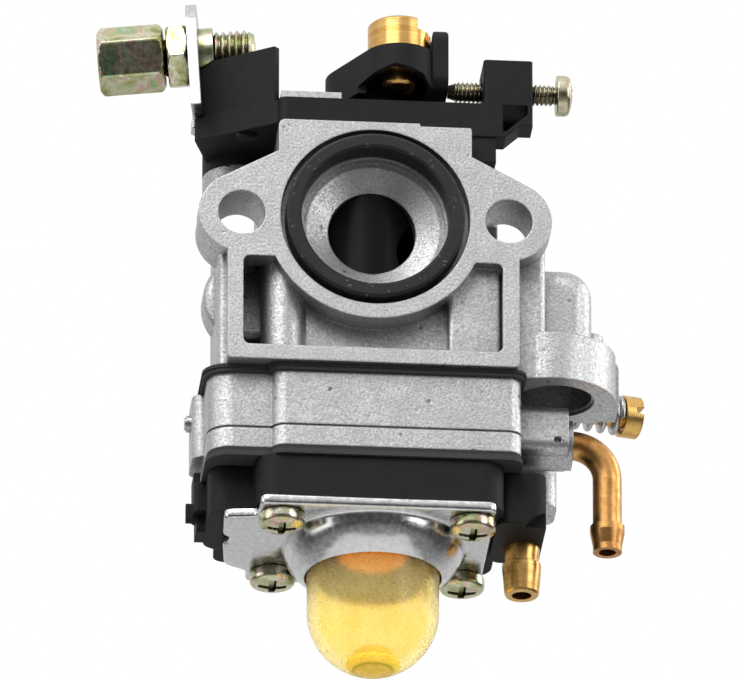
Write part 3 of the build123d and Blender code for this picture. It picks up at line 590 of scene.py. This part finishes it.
mixture_axis = joints["mixture_screw_turn"]["axis"]
finish = {
    "cast_aluminium": cast_aluminium(),
    "black_plastic": black_plastic(),
    "barrel_plastic": barrel_plastic(),
    "rubber": seal_rubber(),
    "gasket_board": sheet_material("gasket_board", (0.012, 0.012, 0.012), (0.045, 0.045, 0.045)),
    "diaphragm": sheet_material("diaphragm", (0.02, 0.02, 0.022), (0.07, 0.07, 0.075)),
    "zinc_bright": bright_zinc(),
    "plate": drawn_plate(),
    "zinc_yellow": chromate("zinc_yellow", 0.85),
    "zinc_pale": chromate("zinc_pale", 0.3),
    "steel": bright_steel(),
    "brass": turned_metal("brass", (0, 0, 1), (0.62, 0.33, 0.08), (0.88, 0.55, 0.20)),
    "brass_side": turned_metal("brass_side", mixture_axis, (0.64, 0.36, 0.08), (0.92, 0.60, 0.22)),
    "copper": elbow_copper(),
    "valve_orange": sheet_material("valve_orange", (0.75, 0.22, 0.03), (0.9, 0.36, 0.06)),
    "bulb": amber("bulb_amber", (1.0, 0.89, 0.46), (1.0, 0.81, 0.30), 0.84, 0.24),
    "bulb_core": amber("bulb_core_amber", (1.0, 0.78, 0.06), (1.0, 0.68, 0.03), 0.12, 0.25),
}
cad_finish = {
    "cast_aluminium": "main_body pump_body",
    "black_plastic": "top_cover purge_base throttle_lever",
    "barrel_plastic": "throttle_barrel main_nozzle",
    "rubber": "flange_seal_ring shaft_seal nozzle_o_ring",
    "gasket_board": "pump_gasket metering_gasket",
    "diaphragm": "pump_diaphragm metering_diaphragm",
    "zinc_bright": "cable_bracket",
    "zinc_yellow": "bracket_collar",
    "steel": "cam_ball swivel_circlip lever_pin thrust_washer inlet_screen gallery_plug",
    "brass": "cable_swivel return_fitting jet_needle metering_lever inlet_needle",
    "copper": "inlet_elbow",
    "valve_orange": "purge_check_valve",
}
for name, nodes in cad_finish.items():
    for node_name in nodes.split():
        mesh = frame["nodes"][node_name].data
        mesh.materials.clear()
        mesh.materials.append(finish[name])


# ---------------------------------------------------------------- screws, adjuster and spring
def joint_line(name):
    """A joint's point and direction."""
    joint = joints[name]
    return np.array(joint["pos_m"], float), unit(joint["axis"])


def reach_along(node_name, origin, axis):
    """Least and greatest distance along an axis of a CAD node's points."""
    mesh = frame["nodes"][node_name].data
    points = np.empty(len(mesh.vertices) * 3, np.float32)
    mesh.vertices.foreach_get("co", points)
    far = (points.reshape(-1, 3) - origin) @ axis
    return far.min(), far.max()


def chamfered_hexagon(low, high, insets, face_r, turn, columns):
    """Rows of a hexagon bar: its own radius, or less where a cone cuts its corners near either face."""
    z = np.concatenate([low + insets, high - insets[::-1]])
    cone = face_r + 1.5 * np.minimum(z - low, high - z)
    radius = np.minimum(hexagon(HEX_ACROSS, columns, np.radians(turn))[None], cone[:, None])
    return radius, z[:, None] + 0 * radius


def make_idle_screw():
    """Idle stop screw: a cross-head screw along its joint's axis, its head at the solid's far end."""
    at, axis = joint_line("idle_screw_turn")
    low, high = reach_along("idle_screw", at, axis)
    head = 1.9 * MM
    grid = pan_head_screw(high - low - head, 1.25 * MM, 2.38 * MM, head, 0.5 * MM)
    skin("idle_screw_threaded", [stand(grid, at + axis * (high - head), axis)], finish["zinc_pale"],
         "idle_stop", ["idle_screw"])


def make_adjuster():
    """Hollow adjuster: chamfered hexagon at one end, threaded shank at the other, and its bore.

    Rings run up the outside from the socket's mouth, then back down the bore to the socket's floor."""
    at, axis = joint_line("adjuster_turn")
    low, high = reach_along("cable_adjuster", at, axis)
    hex_end, columns, outer, pitch = -2.9 * MM, 120, 2.5 * MM, 0.8 * MM
    socket_r, socket_floor, cable_r, chamfer = 2.3 * MM, low + 6.1 * MM, 1.1 * MM, 0.3 * MM
    insets = np.array([0, 0.12, 0.3, 0.55, 0.8]) * MM

    def plain(r, height):
        return np.full((1, columns), r), np.full((1, columns), height)
    parts = [plain(socket_r, low + 0.25 * MM), plain(socket_r + 0.25 * MM, low),
             chamfered_hexagon(low, hex_end, insets, 3.35 * MM, 41, columns),
             threaded(hex_end, high - chamfer, columns, outer, pitch),
             plain(1.9 * MM, high), plain(1.3 * MM, high), plain(cable_r, high - chamfer),
             plain(cable_r, socket_floor), plain(socket_r, socket_floor)]
    grid = revolve(np.concatenate([p[0] for p in parts]), np.concatenate([p[1] for p in parts]), columns)
    skin("cable_adjuster_threaded", [stand(grid, at, axis)], finish["zinc_yellow"], "adjuster",
         ["cable_adjuster"], rings=True, sharp=22)


def make_lock_nut():
    """Thin hexagon nut, its corners and both ends of its bore chamfered."""
    at, axis = joint_line("lock_nut_turn")
    low, high = reach_along("lock_nut", at, axis)
    columns, bore_r, chamfer = 120, 2.55 * MM, 0.3 * MM
    insets = np.array([0, 0.1, 0.25, 0.45]) * MM
    hex_r, hex_z = chamfered_hexagon(low, high, insets, 3.4 * MM, 8, columns)
    bore = np.full((4, columns), bore_r)
    bore[[0, -1]] = bore_r + chamfer
    bore_z = np.array([high, high - chamfer, low + chamfer, low])[:, None] + 0 * bore
    grid = revolve(np.concatenate([hex_r, bore]), np.concatenate([hex_z, bore_z]), columns)
    skin("lock_nut_chamfered", [stand(grid, at, axis)], finish["zinc_yellow"], "jam_nut",
         ["lock_nut"], rings=True, sharp=22)


def make_mixture_screw():
    """Slotted mixture screw along its joint's axis, and the spring under its head."""
    at, axis = joint_line("mixture_screw_turn")
    low, high = reach_along("mixture_screw", at, axis)
    head = 2.1 * MM
    grid = slotted_screw(high - low - head, 1.4 * MM, 2.45 * MM, head, 0.4 * MM)
    skin("mixture_screw_slotted", [stand(grid, at + axis * (high - head), axis)], finish["brass_side"],
         "mixture", ["mixture_screw"])
    low, high = reach_along("mixture_spring", at, axis)
    grid = helix_spring(at + axis * low, axis, high - low, 2.0 * MM, 0.72 * MM, 4.6)
    skin("mixture_spring_wound", [grid], finish["steel"], "carburetor", ["mixture_spring"])


def make_fixed_screws():
    """The four stack screws, heads down, and the two cover screws, heads up, where their solids stand."""
    low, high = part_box("plate_screws")
    head_r, head = 2.65 * MM, 1.9 * MM
    spots = [(low.x + head_r, low.y + head_r), (high.x - 2.85 * MM, low.y + head_r),
             (low.x + 2.95 * MM, high.y - head_r), (high.x - head_r, high.y - 2.75 * MM)]
    screw = pan_head_screw(high.z - low.z - head, 1.46 * MM, head_r, head, 0.5 * MM, rows_per_turn=3)
    grids = [stand(screw, (x, y, low.z + head), (0, 0, -1)) for x, y in spots]
    skin("stack_screws_cross_head", grids, finish["zinc_yellow"], "carburetor",
         ["plate_screws"])
    low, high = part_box("cover_screws")
    head_r, head = 3.4 * MM, 2.3 * MM
    spots = [(low.x + head_r, 17.6 * MM, high.z), (high.x - head_r, 18.6 * MM, high.z - 1.0 * MM)]
    screw = pan_head_screw(6.8 * MM, 1.75 * MM, head_r, head, 0.6 * MM)
    grids = [stand(screw, (x, y, top - head), (0, 0, 1)) for x, y, top in spots]
    skin("cover_screws_cross_head", grids, finish["zinc_yellow"], "carburetor",
         ["cover_screws"])


def make_springs():
    """The barrel's return spring and the metering lever's spring, both pressed against their upper ends."""
    low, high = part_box("return_spring")
    axis_y = (low.y + high.y) / 2
    grid = helix_spring((0, axis_y, low.z), (0, 0, 1), high.z - low.z, 5.3 * MM, 0.7 * MM, 6.0)
    spring = skin("return_spring_wound", [grid], finish["steel"], "carburetor", ["return_spring"])
    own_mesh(spring)
    low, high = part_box("metering_spring")
    x, y = (low.x + high.x) / 2, (low.y + high.y) / 2
    grid = helix_spring((x, y, low.z), (0, 0, 1), high.z - low.z, 0.88 * MM, 0.24 * MM, 3.0)
    spring = skin("metering_spring_wound", [grid], finish["steel"], "carburetor",
                  ["metering_spring"])
    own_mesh(spring)


# ---------------------------------------------------------------- retainer plate
def rounded(points, r):
    """Closed outline with each corner replaced by a short curve that starts and ends r from it."""
    points = np.array(points, float)
    share = np.linspace(0, 1, 9)[:, None]
    curves = []
    for before, corner, after in zip(np.roll(points, 1, 0), points, np.roll(points, -1, 0)):
        ends = [corner + unit(far - corner) * min(r, np.linalg.norm(far - corner) / 2)
                for far in (before, after)]
        curves.append((1 - share) ** 2 * ends[0] + 2 * share * (1 - share) * corner + share ** 2 * ends[1])
    return np.concatenate(curves)


def reach_out(outline, centre, columns):
    """Distance from a centre to an outline round it, in each column's direction."""
    angle = around(columns)
    ray = np.stack([np.cos(angle), np.sin(angle)], -1)[:, None]
    start = (outline - centre)[None]
    edge = np.roll(start, -1, 1) - start
    turn = ray[..., 0] * edge[..., 1] - ray[..., 1] * edge[..., 0]
    turn = np.where(np.abs(turn) < 1e-15, 1e-15, turn)
    share = (start[..., 0] * ray[..., 1] - start[..., 1] * ray[..., 0]) / turn
    far = (start[..., 0] * edge[..., 1] - start[..., 1] * edge[..., 0]) / turn
    met = (share >= -1e-9) & (share <= 1 + 1e-9) & (far > 0)
    return np.where(met, far, 0).max(1)


def make_plate():
    """Pressed plate: a flat sheet whose edge follows the outline, drawn down into a dome with a round mouth.

    Each row is a ring about the dome's axis; the flat rows run from the dome's foot out to the edge."""
    low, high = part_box("bulb_retainer_plate")
    columns, gauge, edge_round = 360, 1.2 * MM, 0.3 * MM
    corners = [(-13.2, 0.3), (14.1, 0.3), (14.1, 23.2), (-13.2, 23.2), (-13.2, 20.3), (-16.0, 18.6),
               (-16.6, 13.0), (-16.0, 12.6), (-16.0, 10.6), (-16.8, 10.2), (-17.1, 4.9), (-13.2, 4.4)]
    edge = reach_out(rounded(np.array(corners) * MM, 0.9 * MM), STACK_CENTRE, columns)
    foot = 10.98 * MM
    sheet = edge - edge_round - foot
    flat = high.z - gauge
    outside = np.array([(10.84, 0.05), (10.7, 0.2), (10.6, 0.5), (10.5, 0.95), (10.34, 1.5), (10.1, 2.1),
                        (9.75, 2.75), (9.3, 3.4), (8.85, 3.95), (8.4, 4.4), (8.15, 4.62), (7.98, 4.76),
                        (7.92, 4.7), (7.9, 4.5), (7.95, 4.3)]) * MM
    inside = np.array([(8.3, 3.7), (8.8, 3.0), (9.2, 2.2), (9.6, 1.2), (9.8, 0.4), (9.9, -0.4), (10.0, -0.9),
                       (10.15, -1.12)]) * MM
    radius, height = [], []
    for share in (0.0, 0.15, 0.35, 0.6, 0.85):
        radius.append(foot + sheet * (1 - share))
        height.append(flat)
    profile_depth = 4.78 * MM
    drawn = (flat - low.z) / profile_depth
    for r, depth in np.concatenate([outside, inside]):
        radius.append(0 * edge + r)
        height.append(flat - depth * (drawn if depth > 0 else 1))
    for share in (0.0, 0.35, 0.7, 1.0):
        radius.append(foot + sheet * share)
        height.append(high.z)
    for inset, drop in ((0.09, 0.08), (0.0, 0.3), (0.0, 0.9), (0.09, 1.12)):
        radius.append(edge - inset * MM)
        height.append(high.z - drop * MM)
    grid = revolve(np.array(radius), np.repeat(np.array(height)[:, None], columns, 1), columns)
    skin("bulb_retainer_plate_drawn", [grid + np.array([*STACK_CENTRE, 0])], finish["plate"], "carburetor",
         ["bulb_retainer_plate"], rings=True, sharp=50)


# ---------------------------------------------------------------- primer bulb
def make_bulb():
    """Thin domed bulb: straight wall that runs into a half sphere, the same inside, and a rolled flange."""
    low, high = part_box("primer_bulb")
    tip_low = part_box("primer_bulb_tip")[0]
    centre_x, centre_y = (low.x + high.x) / 2, (low.y + high.y) / 2
    outer, wall = 7.64 * MM, 1.1 * MM
    centre_z = tip_low.z + outer
    bend = np.linspace(0, np.pi / 2, 40)
    out_r = np.concatenate([[9.7, 9.75, 9.5, 8.6, 7.95, 7.72, 7.64], outer / MM * np.cos(bend)]) * MM
    out_z = np.concatenate([high.z - np.array([0.2, 0.9, 1.4, 2.2, 3.2, 4.6, 7.0]) * MM,
                            centre_z - outer * np.sin(bend)])
    inner = outer - wall
    in_r = np.concatenate([inner * np.cos(bend[::-1]), [inner, inner, 8.0 * MM]])
    in_z = np.concatenate([centre_z - inner * np.sin(bend[::-1]), high.z - np.array([5.0, 1.0, 0.1]) * MM])
    grid = revolve(np.concatenate([out_r, in_r]), np.concatenate([out_z, in_z]), 128)
    bulb = skin("primer_bulb_moulded", [grid + np.array([centre_x, centre_y, 0])], finish["bulb"],
                "carburetor", ["primer_bulb"], rings=True, sharp=60)
    bulb.visible_shadow = False
    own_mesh(bulb)
    core_z = centre_z - inner
    profile = [(0, 1.75), (2.0, 1.75), (2.2, 1.6), (2.45, 0.9), (2.95, 0.55), (3.05, 0.35), (3.0, -0.1),
               (2.4, -0.75), (1.2, -0.98), (0, -1.02)]
    grid = revolve([p[0] * MM for p in profile], [core_z + p[1] * MM for p in profile], 96)
    skin("primer_bulb_core", [grid + np.array([centre_x, centre_y, 0])], finish["bulb_core"], "bulb_tip",
         ["primer_bulb_tip"], sharp=40)


make_idle_screw()
make_adjuster()
make_lock_nut()
make_mixture_screw()
make_fixed_screws()
make_springs()
make_plate()
make_bulb()


# ---------------------------------------------------------------- floor, light and camera
def view_axes(azimuth, elevation):
    """Right, up and forward of a view that looks along +Y at azimuth 0."""
    a, e = np.radians(azimuth), np.radians(elevation)
    forward = np.array([-np.sin(a) * np.cos(e), np.cos(a) * np.cos(e), -np.sin(e)])
    right = np.array([np.cos(a), np.sin(a), 0])
    return right, np.cross(right, forward), forward


def make_floor():
    """Pale floor well under the object, since it is seen from below."""
    mesh = bpy.data.meshes.new("floor")
    size, level = 1.3, -1.7
    mesh.from_pydata([(-size, -size, level), (size, -size, level), (size, size, level), (-size, size, level)],
                     [], [(0, 1, 2, 3)])
    material, tree, shader = new_material("pale_floor", Roughness=0.8)
    tone = noise(tree, object_place(tree), 8.0, 2.0)
    tree.links.new(mix(tree, tone, (0.86, 0.86, 0.86), (0.90, 0.90, 0.90)), shader.inputs["Base Color"])
    mesh.materials.append(material)
    floor = bpy.data.objects.new("floor", mesh)
    bpy.context.scene.collection.objects.link(floor)


def make_light(name, place, size, power):
    """Rectangular soft light that faces the object."""
    lamp = bpy.data.lights.new(name, "AREA")
    lamp.shape = "RECTANGLE"
    lamp.size, lamp.size_y = size
    lamp.energy = power
    holder = bpy.data.objects.new(name, lamp)
    bpy.context.scene.collection.objects.link(holder)
    middle_of_object = np.array([0, 10, -10]) * MM
    toward = unit(middle_of_object - np.array(place))
    side = unit(np.cross(toward, (0, 0, 1)))
    up = np.cross(side, toward)
    turn = np.eye(4)
    turn[:3, 0], turn[:3, 1], turn[:3, 2], turn[:3, 3] = side, up, -toward, place
    holder.matrix_world = Matrix(turn.tolist())


def make_world():
    """White behind the object; for lighting, a soft room that is bright above and greyer at the sides."""
    world = bpy.data.worlds.new("soft_room")
    bpy.context.scene.world = world
    world.use_nodes = True
    tree = world.node_tree
    back = tree.nodes["Background"]
    place = tree.nodes.new("ShaderNodeTexCoord").outputs["Generated"]
    parts = node(tree, "SeparateXYZ", Vector=place).outputs
    height = parts[2]
    room = ramp(tree, remap(tree, height, -1, 1), [
        (0.0, (0.30, 0.30, 0.30)), (0.2, (0.24, 0.24, 0.24)), (0.3, (0.07, 0.07, 0.07)),
        (0.5, (0.07, 0.07, 0.07)), (0.6, (0.36, 0.36, 0.36)), (0.74, (0.80, 0.80, 0.80)),
        (1.0, (0.92, 0.92, 0.92))])
    far_wall = ramp(tree, remap(tree, height, -1, 1), [
        (0.0, (0.30, 0.30, 0.30)), (0.2, (0.55, 0.55, 0.55)), (0.4, (0.62, 0.62, 0.62)),
        (0.7, (0.75, 0.75, 0.75)), (1.0, (0.92, 0.92, 0.92))])
    room = mix(tree, remap(tree, parts[1], 0.25, 0.75), room, far_wall)
    path = tree.nodes.new("ShaderNodeLightPath").outputs
    seen = math(tree, "MAXIMUM", path["Is Camera Ray"], path["Is Transmission Ray"])
    glow = math(tree, "ADD", 1.0, math(tree, "MULTIPLY", path["Is Transmission Ray"], 0.35))
    tree.links.new(glow, back.inputs["Strength"])
    tree.links.new(mix(tree, seen, room, (1, 1, 1)), back.inputs["Color"])


def make_camera():
    """Long lens from slightly left and well below, so that depths hardly change sizes."""
    right, up, forward = view_axes(-5, -24)
    distance, sensor, view_width = 2.8, 36.0, 85.549 * MM
    target = -right * 0.636 * MM - up * 14.277 * MM
    camera = bpy.data.cameras.new("camera")
    camera.sensor_width = sensor
    camera.lens = distance * sensor / view_width
    camera.clip_start, camera.clip_end = 0.01, 10
    holder = bpy.data.objects.new("camera", camera)
    bpy.context.scene.collection.objects.link(holder)
    turn = np.eye(4)
    turn[:3, 0], turn[:3, 1], turn[:3, 2], turn[:3, 3] = right, up, -forward, target - forward * distance
    holder.matrix_world = Matrix(turn.tolist())
    bpy.context.scene.camera = holder


make_floor()
make_world()
make_light("key", (-0.30, -0.50, 0.60), (0.6, 0.6), 4.2)
make_light("front_right", (0.62, -0.50, 0.10), (0.4, 0.6), 1.6)
make_light("rim_right", (0.6, 0.1, 0.25), (0.3, 0.5), 1.2)
make_light("left", (-0.65, -0.2, 0.0), (0.4, 0.5), 0.9)
make_camera()
bpy.context.scene.view_settings.view_transform = "Standard"
